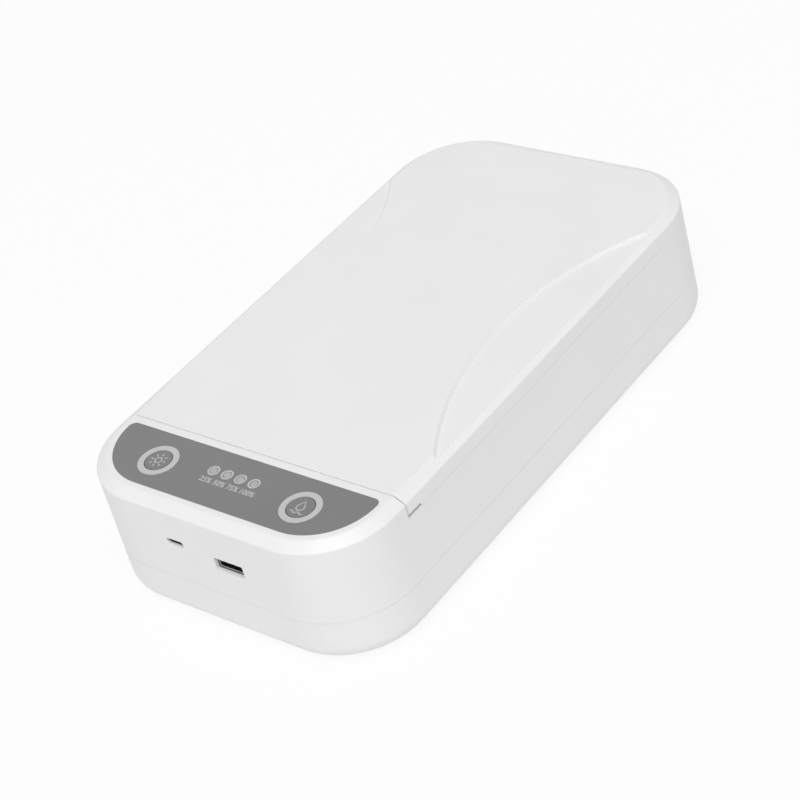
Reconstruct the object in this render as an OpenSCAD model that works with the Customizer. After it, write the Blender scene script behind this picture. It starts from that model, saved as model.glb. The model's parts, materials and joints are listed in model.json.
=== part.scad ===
// Pacifier sterilizer case: a two-part moulded box with a control deck, a chamber and a hinged lamp lid.
// Millimetres, +Z up, the origin on the floor under the middle of the case, the control deck at -Y.

/* [Case] */
// Length of the case over its upper wall
case_l = 224; // [214:1:236]
// Width of the case over its upper wall
case_w = 122.2; // [116:0.2:132]
// Height from the underside to the top of the lid
case_h = 49.6; // [48:0.2:54]
// Radius of the four upright corners at the top of the wall
corner_r = 29; // [27:0.1:31]
// How far the wall leans outwards on its way down
wall_lean = 0.7; // [0.4:0.1:1.8]
// Fillet between the wall and the underside
base_fillet = 6.4; // [4.5:0.1:7]
// Width of the chamfer between the top and the wall
edge_w = 4; // [3.4:0.1:4.6]
// Depth of the chamfer between the top and the wall
edge_d = 2.4; // [2:0.1:2.7]
// Thickness of the moulded outer walls
wall = 2.2; // [1.8:0.1:2.6]
// Thickness of the floor of the bottom cover
floor_t = 2.4; // [2:0.1:3]
// Height of the bottom cover's parting line above the underside
cover_h = 17.7; // [15:0.1:18]
// Reveal between the bottom cover and the housing
cover_gap = 0.05; // [0.05:0.05:0.2]

/* [Deck and lid] */
// Length of the fixed deck in front of the lid
deck_l = 34.5; // [33:0.1:38]
// Thickness of the deck
deck_t = 2.4; // [2:0.1:3]
// Gap between the deck and the lid
seam_gap = 0.35; // [0.3:0.05:0.5]
// Depth of the lid from its top to the parting line
lid_d = 8.05; // [7.8:0.05:9]
// Thickness of the lid's skin
lid_skin = 2; // [1.8:0.1:2.1]
// Gap between the lid's skirt and the rim
lid_gap = 0.05; // [0.05:0.05:0.2]
// Rounding of the lid's edge along the seam
seam_round = 0.4; // [0.3:0.05:0.5]
// Length of the relief in the skirt beside the hinge
relief_l = 6.5; // [5.5:0.1:8]
// Height of the relief in the skirt and of the end wall's foot above the parting line
relief_h = 1.2; // [1.1:0.05:1.5]

/* [Lid relief] */
// Radius of the arc that bounds each scallop
scallop_r = 117.6; // [105:0.1:130]
// Half width of the raised middle at its narrowest
waist = 37.7; // [36:0.1:44]
// Where along the case the raised middle is narrowest
waist_y = 8.7; // [0:0.1:14]
// Depth of a scallop's floor below the raised middle
step_h = 1.1; // [0.5:0.05:1.4]
// Width of the sloping step between them
step_w = 0.9; // [0.5:0.1:1.4]

/* [Hinge] */
// Distance of the hinge axis behind the lid's front face
hinge_back = 3; // [2.8:0.05:3.3]
// Depth of the hinge axis below the top
hinge_drop = 2.7; // [2.6:0.05:2.9]
// Radius of the hinge pins
pin_r = 0.75; // [0.6:0.05:0.85]
// Radius of the knuckles and of the ears' heads
knuckle_r = 1.6; // [1.5:0.05:1.65]
// Distance of each hinge from the centre line
hinge_x = 40; // [34:0.5:46]
// Width of a lid knuckle
knuckle_w = 11.4; // [9:0.1:14]
// Width of an ear
ear_w = 4; // [3:0.1:5]
// Side gap between a knuckle and an ear
hinge_side_gap = 0.3; // [0.25:0.05:0.5]

/* [Control panel] */
// Margin from the wall to the panel
panel_margin = 6.3; // [5:0.1:7]
// Distance from the seam to the panel
panel_back = 3.2; // [2.8:0.1:4]
// Thickness of the panel's sheet
panel_t = 0.5; // [0.3:0.05:0.8]
// Distance of each key from the side of the case
key_side = 29.7; // [28.5:0.1:32]
// Distance from the panel's back edge to the keys
key_back = 12.9; // [11:0.1:14]
// Radius of a key's cap
key_r = 4.85; // [4.4:0.05:5.2]
// Outer radius of the light ring round a key
ring_r = 7.4; // [6.8:0.05:7.8]
// Travel of a key
key_travel = 0.4; // [0.2:0.05:0.5]
// Distance from the panel's back edge to the row of lamps
led_back = 9.7; // [8:0.1:11]
// Spacing of the indicator lamps
led_pitch = 5.92; // [5.4:0.02:6.6]
// Outer radius of an indicator's bezel
bezel_r = 2.27; // [2.1:0.01:2.5]
// Radius of an indicator's light pipe
pipe_r = 1.66; // [1.4:0.02:1.8]

/* [Ports] */
// Distance of the large socket's centre from the right side of the case
usb_side = 51; // [50.2:0.1:53]
// Height of the large socket's centre above the underside
usb_z = 31.5; // [30.5:0.1:32]
// Width of the large socket's cut-out
usb_w = 12.4; // [12:0.1:12.6]
// Height of the large socket's cut-out
usb_h = 5.1; // [4.8:0.1:5.2]
// Centre of the small socket to the left of the centre line
micro_x = 13.1; // [12:0.1:16]
// Height of the small socket's centre above the underside
micro_z = 34.5; // [34:0.1:35]
// Width of the small socket's cut-out
micro_w = 7.3; // [7:0.1:7.6]
// Height of the small socket's cut-out
micro_h = 2.4; // [2.2:0.1:2.6]

/* [Chamber] */
// Width of the rim beside the chamber
rim_w = 11.5; // [11:0.1:14]
// Width of the rim at the far end
rim_far = 13.5; // [13:0.1:16]
// Thickness of the rim
rim_t = 2.2; // [1.9:0.1:2.4]
// Depth of the chamber below the rim
chamber_d = 24.3; // [20:0.1:25]
// Corner radius of the chamber
chamber_r = 14; // [11:0.5:16]
// Fillet between the chamber's wall and floor
chamber_fillet = 4; // [2:0.5:5]
// How far the chamber's walls lean inwards on their way down
chamber_lean = 0.8; // [0.3:0.1:1.2]
// Thickness of the chamber's tub
tub_t = 1.8; // [1.4:0.1:1.9]
// Width of the tub's lip
lip_w = 2.6; // [2.2:0.1:3]
// Thickness of the tub's lip
lip_t = 1.1; // [0.9:0.1:1.2]
// Number of support ribs on the chamber's floor
rib_count = 7; // [5:1:8]
// Height of the support ribs
rib_h = 3; // [2:0.1:4]
// Width of a support rib
rib_w = 2.4; // [2:0.1:3]
// Thickness of the reflecting floor sheet
sheet_t = 0.5; // [0.3:0.1:0.8]

/* [Aroma cup] */
// Inner radius of the aroma cup
cup_r = 9; // [8:0.1:10]
// Depth of the aroma cup below the chamber's floor
cup_d = 4.4; // [4:0.1:5]
// Thickness of the aroma pad
pad_t = 2.2; // [1.8:0.1:2.4]

/* [Lamps] */
// Radius of a lamp tube
lamp_r = 1.5; // [1.3:0.05:1.55]
// Length of a lamp tube
lamp_l = 128; // [110:1:134]
// Distance of each lamp from the centre line
lamp_x = 24; // [20:0.5:26]
// Thickness of the lid's liner
liner_t = 1.4; // [1.2:0.1:1.5]
// Depth of the liner's face above the parting line
liner_recess = 0.8; // [0.6:0.1:0.9]
// Width of a lamp window in the liner
window_w = 12; // [11:0.2:13]

/* [Feet and screws] */
// Radius of a rubber foot
foot_r = 5.5; // [5:0.1:6]
// Height of the feet below the underside
foot_h = 0.8; // [0.5:0.1:1.5]
// Depth of a foot's pocket
foot_pocket = 1; // [0.8:0.1:1.2]
// Distance of the feet from each side of the case
foot_side = 19.1; // [17:0.1:21]
// Distance of the feet from each end of the case
foot_end = 18; // [17:0.5:20]
// Radius of a screw's shank
screw_r = 1.4; // [1.2:0.05:1.5]
// Radius of a screw's head
screw_head_r = 2.6; // [2.3:0.1:2.8]

/* [Hidden] */

$fn = 64;
eps = 0.01;
// Clearance between pieces that sit in each other
fit = 0.1;
// Extra length of a cutting body beyond what it cuts
over = 2;
// Reach of the soft bends at the chamfer's two edges
edge_soft = 0.5;
// Width of the cut inside the walls that follows the chamfer
inner_cut = 1.2;

// Rounds a worked-out place to a fiftieth of a millimetre, so that halves and doubles of it stay exact
function snap(v) = round(v * 50) / 50;

// Levels
under_z = foot_h;
top_z = under_z + case_h;
cover_z = under_z + cover_h;
rim_z = top_z - lid_d;
floor_z = rim_z - chamber_d;

// Corner centres of the case's outline
corner_x = case_w / 2 - corner_r;
corner_y = case_l / 2 - corner_r;
foot_r_out = corner_r + wall_lean;

// Places along the case
seam_y = -case_l / 2 + deck_l;
deck_end = seam_y - seam_gap / 2;
lid_front = seam_y + seam_gap / 2;
hinge_y = lid_front + hinge_back;
hinge_z = top_z - hinge_drop;
end_wall = 1.6;
back_wall = 2;

// Hinge clearances
swing_gap = 0.25;
swing_r = norm([hinge_back - seam_round, hinge_drop - seam_round]) + seam_round + swing_gap;
swing_x = case_w / 2 - edge_w;
swing_taper = edge_w * 2 / 3;
swing_end_r = norm([hinge_back, hinge_drop - edge_d * 2 / 3]) + swing_gap;
trough_x = case_w / 2 - wall;
trough_end = snap(hinge_y + norm([hinge_back, lid_d - hinge_drop - relief_h]) + 0.9);
trough_z = rim_z - 1.2;
trough_t = 2;
trough_wall = 1.2;
pin_reach = knuckle_w / 2 + hinge_side_gap + ear_w;
bore_reach = pin_reach + over;
bore_gap = 0.05;

// Chamber outline
chamber_x = case_w / 2 - rim_w;
chamber_far = case_l / 2 - rim_far;
chamber_near = trough_end + trough_wall + 2 * fit + lip_w;
chamber_y = (chamber_far + chamber_near) / 2;
tub_cx = chamber_x - chamber_r;
tub_cy = (chamber_far - chamber_near) / 2 - chamber_r;

// Aroma cup
cup_wall = 1.2;
grille_t = 1.2;
grille_r = cup_r + 1.6;
cup_y = chamber_near + chamber_lean + chamber_fillet + grille_r + 1;
heater_t = 1;
cup_slack = 0.5;

// Ribs
rib_end_gap = 10;
rib_first = cup_y + grille_r + 6;
rib_step = (chamber_far - rib_end_gap - rib_first) / (rib_count - 1);
rib_l = 2 * chamber_x - 26;

// Control panel
panel_far = seam_y - panel_back;
panel_x = case_w / 2 - panel_margin;
panel_corner = 2.5;
panel_arc = corner_r - panel_margin;
key_y = panel_far - key_back;
led_y = panel_far - led_back;
led_count = 4;
key_gap = 0.25;
ring_inner = key_r + key_gap;
ring_h = 1.6;
key_cap_h = deck_t + 0.1;
key_flange_r = key_r + 1.2;
key_flange_t = 0.9;
key_stem_r = 1.9;

// Main board and what stands on it
micro_shell_h = micro_h + 0.3;
micro_shell_w = micro_w + 0.3;
usb_shell_h = usb_h + 0.6;
usb_shell_w = usb_w + 0.7;
shell_t = 0.3;
board_t = 1.6;
board_z = under_z + micro_z + micro_shell_h / 2;
board_top = board_z + board_t;
key_x = case_w / 2 - key_side;
usb_x = case_w / 2 - usb_side;
board_x = key_x + 4.6;
board_near = -case_l / 2 + 8.6;
board_far = panel_far + 0.6;
boss_to_key = 9.4;
board_boss_x = key_x - boss_to_key;
board_boss_r = 2.7;
board_boss_y = [board_near + 2.9, board_far - 3];
chip_h = 0.7;
switch_size = 6;
switch_h = 3.5;
plunger_r = 1.7;
key_foot = top_z - deck_t - key_flange_t - 1;
plunger_gap = key_travel + 0.1;
plunger_top = key_foot - plunger_gap;
port_face = wall + 0.05 - corner_y - wall_r(board_z);
usb_depth = 13.6;
micro_depth = 5.4;
tongue_back = 0.6;

// Fastening: how far each kind of screw bites, and the room beyond its point
foot_x = case_w / 2 - foot_side;
foot_y = case_l / 2 - foot_end;
boss_r = 3.3;
cover_boss_r = 4.4;
boss_joint_z = under_z + 8.2;
head_seat = under_z + foot_pocket + 2.2;
screw_end = boss_joint_z + 5.6;
screw_hole = screw_r + 0.05;
screw_pass = screw_r + 0.2;
point_room = 0.5;
board_bite = 5;
driver_bite = 3.4;
liner_bite = 2.2;

// Driver board below the chamber
driver_w = 64;
driver_l = 44;
driver_y = 20;
driver_z = under_z + floor_t + 2.6;
driver_t = 1.4;
driver_top = driver_z + driver_t;
driver_hole_x = driver_w / 2 - 4;
driver_hole_y = driver_l / 2 - 4;
transformer_x = -12;
transformer_w = 14;
transformer_l = 19;
transformer_h = 6.4;
can_x = 10;

// Magnets and the lid sensor
magnet_r = 3;
magnet_h = 1.6;
magnet_x = 18;
magnet_y = (chamber_far + lip_w + case_l / 2 - wall) / 2;
magnet_skin = 0.5;
sensor_x = (chamber_x + tub_t + case_w / 2 - wall) / 2;
sensor_y = chamber_near + 8;
sensor_magnet_r = 2;
sensor_magnet_h = 2;
sensor_boss_h = 2.4;

// Lid inside
lid_ceiling = top_z - lid_skin;
liner_z = rim_z + liner_recess;
liner_top = liner_z + liner_t;
liner_near = hinge_y + 4.6;
liner_inset = wall + 0.3;
lamp_y = (case_l / 2 - wall + liner_near) / 2 - 2;
lamp_z = liner_top + 0.15 + lamp_r;
holder_l = 8;
holder_w = 8;
window_l = lamp_l - 2 * holder_l - 1;
reflector_t = 0.4;
reflector_top = lamp_z + lamp_r + 0.15;
flange_w = 1.6;
liner_boss_r = 2.6;
liner_boss_x = [8, 34];
liner_boss_y = [chamber_near + screw_head_r + 3.5, case_l / 2 - 22];
low_head = 0.6;
lid_magnet_z = liner_top + 0.05;
sensor_magnet_x = sensor_x;
sensor_magnet_y = hinge_y + 9;

// Half width of the upper wall at a height, measured from a corner centre
function wall_r(z) = corner_r + wall_lean * (top_z - edge_d - z) / (case_h - edge_d - base_fillet);

// Points of a circle's arc from angle a to angle b
function arc(cx, cz, r, a, b, n) = [for (i = [0:n]) let (t = a + (b - a) * i / n)
    [cx + r * cos(t), cz + r * sin(t)]];

// Points of a soft bend at corner c between the directions of a and b
function bend(c, a, b) = let (
    u = edge_soft * (a - c) / norm(a - c),
    v = edge_soft * (b - c) / norm(b - c))
    [for (i = [0:4]) let (t = i / 4) c + pow(1 - t, 2) * u + pow(t, 2) * v];

// Half section of the whole case, from a corner centre outwards
function case_section() = let (
    foot = [foot_r_out, under_z + base_fillet],
    low = [corner_r, top_z - edge_d],
    high = [corner_r - edge_w, top_z],
    middle = [0, top_z])
    concat(
        [[0, under_z]],
        arc(foot_r_out - base_fillet, under_z + base_fillet, base_fillet, -90, 0, 8),
        bend(low, foot, high),
        bend(high, low, middle),
        [middle]);

// Half section of the space inside the walls between two heights
function cavity_section(z0, z1) = [
    [0, z0], [wall_r(z0) - wall, z0], [wall_r(z1) - wall, z1 - inner_cut * edge_d / edge_w],
    [wall_r(z1) - wall - inner_cut, z1], [0, z1]];

// Sweeps a half section round a rounded rectangle with the given corner centres
module round_sweep(cx, cy, section) {
    for (q = [0:3])
        translate([(q == 0 || q == 3 ? 1 : -1) * cx, (q < 2 ? 1 : -1) * cy, 0])
            rotate([0, 0, 90 * q])
                rotate_extrude(angle = 90)
                    polygon(section);
    for (side = [0, 1]) {
        mirror([side, 0, 0])
            translate([cx, cy, 0])
                rotate([90, 0, 0])
                    linear_extrude(2 * cy)
                        polygon(section);
        mirror([0, side, 0])
            translate([-cx, cy, 0])
                rotate([90, 0, 90])
                    linear_extrude(2 * cx)
                        polygon(section);
    }
}

// The same sweep with its middle filled in, for a section that is flat near the corner centre
module round_block(cx, cy, section) {
    low = section[0][1];
    high = section[len(section) - 1][1];
    round_sweep(cx, cy, section);
    translate([-cx - 1, -cy - 1, low])
        cube([2 * cx + 2, 2 * cy + 2, high - low]);
}

module case_block() {
    round_block(corner_x, corner_y, case_section());
}

module cavity_block(z0, z1) {
    round_block(corner_x, corner_y, cavity_section(z0, z1));
}

// A flat rounded slab in line with the chamber
module tub_slab(grow, z0, z1) {
    r = chamber_r + grow;
    translate([0, chamber_y, 0])
        round_block(tub_cx, tub_cy, [[0, z0], [r, z0], [r, z1], [0, z1]]);
}

// A block between two places along the case, wider than the case
module across(y0, y1, z0, z1) {
    translate([-case_w, y0, z0])
        cube([2 * case_w, y1 - y0, z1 - z0]);
}

module rod(r, x0, x1, y, z) {
    translate([x0, y, z])
        rotate([0, 90, 0])
            cylinder(h = x1 - x0, r = r);
}

module at_feet(ends) {
    for (x = [-foot_x, foot_x], y = ends)
        translate([x, y, 0])
            children();
}

module at_leds() {
    for (i = [0:led_count - 1])
        translate([(i - (led_count - 1) / 2) * led_pitch, led_y, 0])
            children();
}

module at_keys() {
    for (x = [-key_x, key_x])
        translate([x, key_y, 0])
            children();
}

// Outline of the control panel, made smaller by an inset; its long arc stops short of its back corner
function panel_outline(inset) = let (
    x = panel_x - inset,
    far = panel_far - inset,
    r = panel_arc - inset,
    c = panel_corner - inset,
    stop = asin(min(0, (far - c + corner_y - fit) / r)),
    right = concat(
        arc(corner_x, -corner_y, r, -90, stop, 20),
        arc(x - c, far - c, c, 0, 90, 6)))
    concat(right, [for (i = [len(right) - 1:-1:0]) [-right[i][0], right[i][1]]]);

// A rounded bar across the case, such as a support rib
module bar(length, width, height) {
    translate([-length / 2 + width / 2, -width / 2, 0])
        cube([length - width, width, height]);
    for (side = [-1, 1])
        translate([side * (length - width) / 2, 0, 0])
            cylinder(h = height, r = width / 2);
}

module at_ribs() {
    for (i = [0:rib_count - 1])
        translate([0, rib_first + i * rib_step, 0])
            children();
}

// A screw with its head down and its point up, standing on its head seat
module screw(length, head_h = 1.5) {
    slot_w = 0.7;
    slot_l = 3;
    slot_d = 0.6 * head_h;
    difference() {
        union() {
            translate([0, 0, -head_h])
                cylinder(h = head_h, r = screw_head_r);
            cylinder(h = length, r = screw_r);
        }
        for (a = [0, 90])
            rotate([0, 0, a])
                translate([-slot_l / 2, -slot_w / 2, -head_h - over])
                    cube([slot_l, slot_w, over + slot_d]);
    }
}

// Stretches of one hinge that the ears take, either side of the knuckle
function ear_spans(side) = [for (k = [-1, 1])
    side * hinge_x + k * (knuckle_w / 2 + hinge_side_gap + ear_w / 2)];

// The housing: outer wall, rim, hinge trough and control deck
module housing_shell() {
    difference() {
        intersection() {
            case_block();
            union() {
                across(-case_l, case_l, cover_z, rim_z);
                across(-case_l, deck_end, cover_z, top_z + over);
            }
        }
        intersection() {
            cavity_block(cover_z - over, top_z - deck_t);
            union() {
                across(-case_l, case_l, 0, trough_z - trough_t);
                across(trough_end + trough_wall, case_l, 0, rim_z - rim_t);
                across(-case_l, deck_end - back_wall, 0, top_z);
            }
        }
        translate([-trough_x, deck_end, trough_z])
            cube([2 * trough_x, trough_end - deck_end, lid_d]);
        swing_room();
        finger_scoop();
    }
}

// Room for the lid's front edge to turn, which tapers away as the chamfer lowers that edge
module swing_room() {
    end_x = swing_x + swing_taper;
    translate([0, hinge_y, hinge_z])
        rotate([0, 90, 0])
            rotate_extrude()
                polygon([
                    [0, -end_x], [swing_end_r, -end_x], [swing_r, -swing_x],
                    [swing_r, swing_x], [swing_end_r, end_x], [0, end_x]]);
}

// The shallow scoop under the lid's far edge
module finger_scoop() {
    scoop_r = 60;
    scoop_d = 1.3;
    scoop_h = 6.5;
    translate([0, case_l / 2 - scoop_d + scoop_r, rim_z - scoop_h])
        cylinder(h = scoop_h + over, r = scoop_r, $fn = 128);
}

// One upright ear, from the trough's floor to the hinge axis
module ear(x) {
    front = 0.7;
    shoulder = 0.9;
    foot = 3.6;
    root_z = trough_z - 1;
    head = knuckle_r - bore_gap;
    head_angle = 15;
    rod(knuckle_r, x - ear_w / 2, x + ear_w / 2, hinge_y, hinge_z);
    translate([x - ear_w / 2, hinge_y, 0])
        rotate([90, 0, 90])
            linear_extrude(ear_w)
                polygon([
                    [-front, root_z], [foot, root_z],
                    [head * cos(head_angle), hinge_z - head * sin(head_angle)],
                    [0, hinge_z], [-front, hinge_z - shoulder]]);
}

module housing() {
    color("white")
        difference() {
            union() {
                housing_shell();
                for (side = [-1, 1], x = ear_spans(side))
                    ear(x);
                at_feet([-foot_y])
                    translate([0, 0, boss_joint_z])
                        cylinder(h = top_z - deck_t + eps - boss_joint_z, r = boss_r);
                for (x = [-board_boss_x, board_boss_x], y = board_boss_y)
                    translate([x, y, board_top])
                        cylinder(h = top_z - deck_t + eps - board_top, r = board_boss_r);
            }
            for (side = [-1, 1])
                rod(pin_r + eps, side * hinge_x - bore_reach, side * hinge_x + bore_reach, hinge_y, hinge_z);
            tub_slab(tub_t + 2 * fit, cover_z, rim_z + over);
            tub_slab(lip_w + fit, rim_z - lip_t, rim_z + over);
            translate([0, 0, top_z - panel_t])
                linear_extrude(panel_t + over)
                    polygon(panel_outline(0));
            at_keys() {
                translate([0, 0, top_z - ring_h])
                    cylinder(h = ring_h + over, r = ring_r + fit);
                translate([0, 0, top_z - deck_t - over])
                    cylinder(h = deck_t + 2 * over, r = ring_inner);
            }
            at_leds()
                translate([0, 0, top_z - deck_t - over]) {
                    cylinder(h = deck_t + 2 * over, r = pipe_r + fit / 2);
                    translate([0, 0, over + deck_t - ring_h])
                        cylinder(h = ring_h + over, r = bezel_r + fit / 2);
                }
            port_cut(usb_x, usb_z, usb_w, usb_h, 0.5);
            port_cut(-micro_x, micro_z, micro_w, micro_h, 0.9);
            at_feet([-foot_y])
                translate([0, 0, boss_joint_z - over])
                    cylinder(h = screw_end + point_room - boss_joint_z + over, r = screw_hole);
            for (x = [-board_boss_x, board_boss_x], y = board_boss_y)
                translate([x, y, board_top - over])
                    cylinder(h = board_bite + point_room + over, r = screw_hole);
            for (x = [-magnet_x, magnet_x])
                translate([x, magnet_y, rim_z - rim_t - over])
                    cylinder(h = rim_t - magnet_skin + over, r = magnet_r + fit);
        }
}

// A port's rounded cut-out through the front wall
module port_cut(x, z, w, h, r) {
    translate([x, -case_l / 2 + wall + over, under_z + z])
        rotate([90, 0, 0])
            linear_extrude(wall + 2 * over + wall_lean)
                polygon(concat(
                    arc(w / 2 - r, h / 2 - r, r, 0, 90, 4),
                    arc(-w / 2 + r, h / 2 - r, r, 90, 180, 4),
                    arc(-w / 2 + r, -h / 2 + r, r, 180, 270, 4),
                    arc(w / 2 - r, -h / 2 + r, r, 270, 360, 4)));
}

// The tray that closes the case from below
module bottom_cover() {
    inner_fillet = base_fillet - wall;
    cover_top = cover_z - cover_gap;
    floor_top = under_z + floor_t;
    inner_r = foot_r_out - wall;
    color("white")
        difference() {
            union() {
                difference() {
                    intersection() {
                        case_block();
                        across(-case_l, case_l, 0, cover_top);
                    }
                    round_block(corner_x, corner_y, concat(
                        [[0, floor_top]],
                        arc(inner_r - inner_fillet, floor_top + inner_fillet, inner_fillet, -90, 0, 5),
                        [[wall_r(cover_top) - wall, cover_top + over], [0, cover_top + over]]));
                }
                cover_tongue(cover_top);
                at_feet([-foot_y, foot_y])
                    translate([0, 0, under_z + foot_pocket])
                        cylinder(h = boss_joint_z - under_z - foot_pocket - fit, r = cover_boss_r);
                for (x = [-driver_hole_x, driver_hole_x], y = [-driver_hole_y, driver_hole_y])
                    translate([x, driver_y + y, floor_top - 1])
                        cylinder(h = driver_z - floor_top + 1, r = 3);
            }
            at_feet([-foot_y, foot_y]) {
                translate([0, 0, under_z - over])
                    cylinder(h = foot_pocket + over, r = foot_r + fit);
                translate([0, 0, under_z])
                    cylinder(h = head_seat - under_z, r = screw_head_r + 0.2);
                cylinder(h = boss_joint_z + over, r = screw_r + 0.25);
            }
            for (x = [-driver_hole_x, driver_hole_x], y = [-driver_hole_y, driver_hole_y])
                translate([x, driver_y + y, driver_z - driver_bite - point_room])
                    cylinder(h = driver_bite + point_room + over, r = screw_hole);
        }
}

// The tongue inside the parting line that lines the cover up with the housing
module cover_tongue(z) {
    tongue_t = 1.1;
    root = 4;
    rise = 2;
    bite = 0.5;
    slip = 0.15;
    ease = 0.2;
    outer = wall_r(z) - wall;
    round_sweep(corner_x, corner_y, [
        [outer - tongue_t, z - root + tongue_t], [outer + bite, z - root - bite],
        [outer + bite, z - 2 * ease], [outer - slip, z - ease],
        [outer - slip, z + rise], [outer - tongue_t, z + rise]]);
}

// Half section of the tub, or with no growth of the space inside it
function tub_section(grow, top) = concat(
    [[0, floor_z - grow]],
    arc(chamber_r - chamber_lean - chamber_fillet, floor_z + chamber_fillet,
        chamber_fillet + grow, -90, 0, 6),
    [[chamber_r + grow, top], [0, top]]);

module chamber_tub() {
    color("whitesmoke")
        difference() {
            union() {
                translate([0, chamber_y, 0])
                    round_block(tub_cx, tub_cy, tub_section(tub_t, rim_z));
                tub_slab(lip_w, rim_z - lip_t + fit / 2, rim_z);
                translate([0, cup_y, floor_z - cup_d - cup_wall])
                    cylinder(h = cup_d + cup_wall, r = cup_r + cup_wall);
                at_feet([foot_y])
                    translate([0, 0, boss_joint_z])
                        cylinder(h = floor_z - tub_t / 2 - boss_joint_z, r = boss_r);
            }
            difference() {
                translate([0, chamber_y, 0])
                    round_block(tub_cx, tub_cy, tub_section(0, rim_z + over));
                at_ribs()
                    translate([0, 0, floor_z - over])
                        bar(rib_l, rib_w, rib_h + over);
            }
            translate([0, cup_y, floor_z - cup_d])
                cylinder(h = cup_d + over, r = cup_r);
            at_feet([foot_y])
                translate([0, 0, boss_joint_z - over])
                    cylinder(h = screw_end + point_room - boss_joint_z + over, r = screw_hole);
        }
}

module chamber_reflector() {
    r = chamber_r - chamber_lean - chamber_fillet;
    slot_gap = 0.3;
    color("silver")
        difference() {
            translate([0, chamber_y, 0])
                round_block(tub_cx, tub_cy, [
                    [0, floor_z], [r, floor_z], [r, floor_z + sheet_t], [0, floor_z + sheet_t]]);
            at_ribs()
                translate([0, 0, floor_z - over])
                    bar(rib_l + 2 * slot_gap, rib_w + 2 * slot_gap, sheet_t + 2 * over);
            translate([0, cup_y, floor_z - over])
                cylinder(h = sheet_t + 2 * over, r = grille_r + slot_gap);
        }
}

module control_panel() {
    color("dimgray")
        difference() {
            translate([0, 0, top_z - panel_t])
                linear_extrude(panel_t)
                    polygon(panel_outline(fit / 2));
            at_keys()
                translate([0, 0, top_z - panel_t - over])
                    cylinder(h = panel_t + 2 * over, r = ring_r + fit);
            at_leds()
                translate([0, 0, top_z - panel_t - over])
                    cylinder(h = panel_t + 2 * over, r = bezel_r + fit / 2);
        }
}

module key_rings() {
    color("lightgray")
        at_keys()
            translate([0, 0, top_z - ring_h])
                difference() {
                    cylinder(h = ring_h + 0.05, r = ring_r);
                    translate([0, 0, -over])
                        cylinder(h = ring_h + 2 * over, r = ring_inner);
                }
}

// A key: cap, keeper flange under the deck and a stem down to its switch
module key(x) {
    flange_z = top_z - deck_t - 0.05;
    color("dimgray")
        translate([x, key_y, 0]) {
            translate([0, 0, flange_z])
                cylinder(h = key_cap_h, r = key_r);
            translate([0, 0, flange_z - key_flange_t])
                cylinder(h = key_flange_t, r = key_flange_r);
            translate([0, 0, key_foot])
                cylinder(h = flange_z - key_foot, r = key_stem_r);
        }
}

module left_key() {
    key(-key_x);
}

module right_key() {
    key(key_x);
}

module led_bezels() {
    color("lightgray")
        at_leds()
            translate([0, 0, top_z - ring_h])
                difference() {
                    cylinder(h = ring_h + 0.05, r = bezel_r);
                    translate([0, 0, -over])
                        cylinder(h = ring_h + 2 * over, r = pipe_r + fit / 4);
                }
}

module light_pipes() {
    color("gray")
        at_leds()
            translate([0, 0, board_top + chip_h + 0.2])
                cylinder(h = top_z - board_top - chip_h - 0.2, r = pipe_r);
}

module main_board() {
    color("seagreen")
        difference() {
            translate([-board_x, board_near, board_z])
                cube([2 * board_x, board_far - board_near, board_t]);
            for (x = [-board_boss_x, board_boss_x], y = board_boss_y)
                translate([x, y, board_z - over])
                    cylinder(h = board_t + 2 * over, r = screw_pass);
        }
}

module status_leds() {
    color("ivory")
        at_leds()
            translate([-1.6, -0.8, board_top])
                cube([3.2, 1.6, chip_h]);
}

module key_switches() {
    color("black")
        at_keys() {
            translate([-switch_size / 2, -switch_size / 2, board_top])
                cube([switch_size, switch_size, switch_h]);
            translate([0, 0, board_top + switch_h])
                cylinder(h = plunger_top - board_top - switch_h, r = plunger_r);
        }
}

// A folded metal socket shell with its mouth towards the front wall
module socket_shell(w, h, depth) {
    difference() {
        translate([-w / 2, 0, -h / 2])
            cube([w, depth, h]);
        translate([-w / 2 + shell_t, -over, -h / 2 + shell_t])
            cube([w - 2 * shell_t, depth - 2 * shell_t + over, h - 2 * shell_t]);
    }
}

module usb_socket() {
    tab_w = 1.6;
    color("silver")
        translate([usb_x, port_face, under_z + usb_z]) {
            socket_shell(usb_shell_w, usb_shell_h, usb_depth);
            for (x = [-1, 1], y = [3.5, 9])
                translate([x * (usb_shell_w / 2 - shell_t / 2) - shell_t / 2, y, usb_shell_h / 2 - eps])
                    cube([shell_t, tab_w, board_z - under_z - usb_z - usb_shell_h / 2 + eps]);
        }
}

// A socket's contact tongue and the block that carries it, set back from the socket's mouth
module usb_tongue() {
    block_y = 10;
    depth = usb_depth - 2 * shell_t - tongue_back;
    tongue = [usb_w - 1.4, depth, 1.8];
    color("black")
        translate([usb_x, port_face + tongue_back, under_z + usb_z]) {
            translate([-tongue[0] / 2, 0, 2 * fit])
                cube(tongue);
            translate([-usb_w / 2 + fit, block_y, -usb_h / 2 + fit])
                cube([usb_w - 2 * fit, depth - block_y, usb_h - 2 * fit]);
        }
}

module micro_socket() {
    color("silver")
        translate([-micro_x, port_face, under_z + micro_z])
            socket_shell(micro_shell_w, micro_shell_h, micro_depth);
}

module micro_tongue() {
    block_y = 3.2;
    depth = micro_depth - 2 * shell_t - tongue_back;
    tongue = [micro_w - 3, depth, 0.6];
    color("black")
        translate([-micro_x, port_face + tongue_back, under_z + micro_z]) {
            translate([-tongue[0] / 2, 0, -fit])
                cube(tongue);
            translate([-micro_w / 2 + 2 * fit, block_y, -micro_h / 2 + 2 * fit])
                cube([micro_w - 4 * fit, depth - block_y, micro_h - 4 * fit]);
        }
}

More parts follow.
